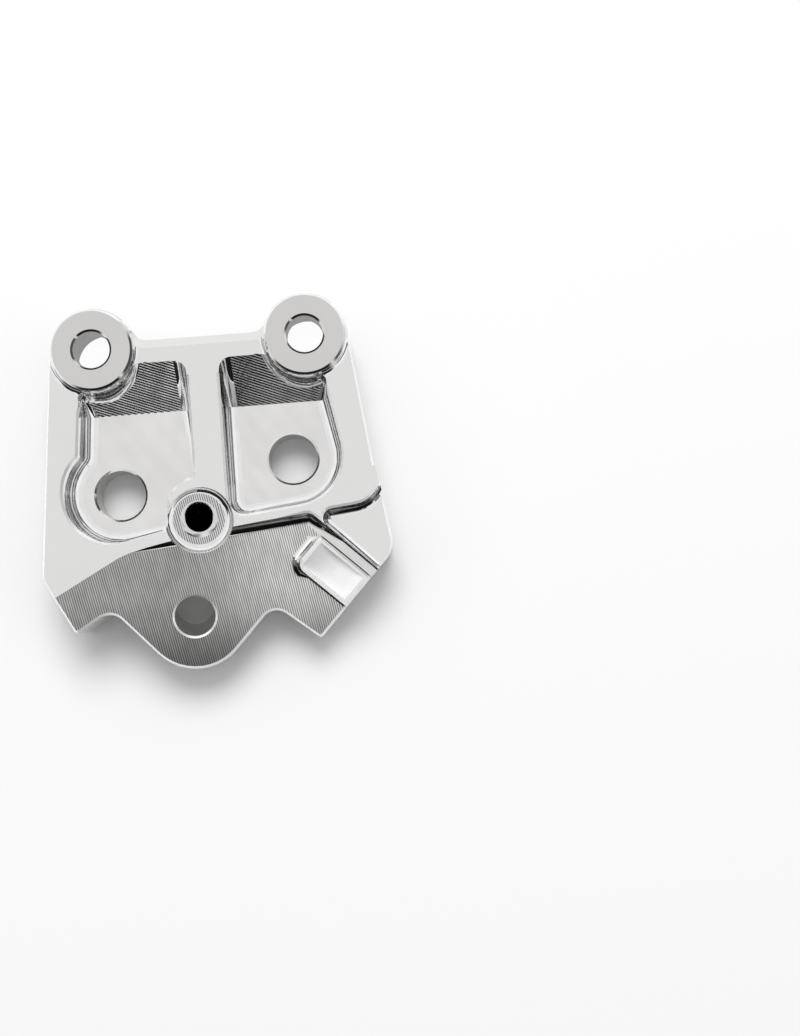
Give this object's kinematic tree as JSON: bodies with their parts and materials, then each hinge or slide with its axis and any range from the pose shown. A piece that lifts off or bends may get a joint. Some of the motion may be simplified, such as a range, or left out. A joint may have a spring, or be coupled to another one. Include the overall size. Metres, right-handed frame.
{
  "type": "foot peg bracket",
  "caption": "Left foot peg bracket milled from aluminium billet, with two bosses, two ramped pockets and an inclined pivot seat.",
  "frame": {"origin": "on the flat back face, midway between the axes of the two boss bores", "axes": "+X from the left boss to the right boss, +Y from the pivot end towards the bosses, +Z out of the worked face"},
  "size_m": [0.0854, 0.09, 0.0236],
  "materials": {
    "bright_aluminium": "bright milled"
  },
  "bodies": {
    "root": {"bracket": "bright_aluminium"}
  },
  "joints": []
}
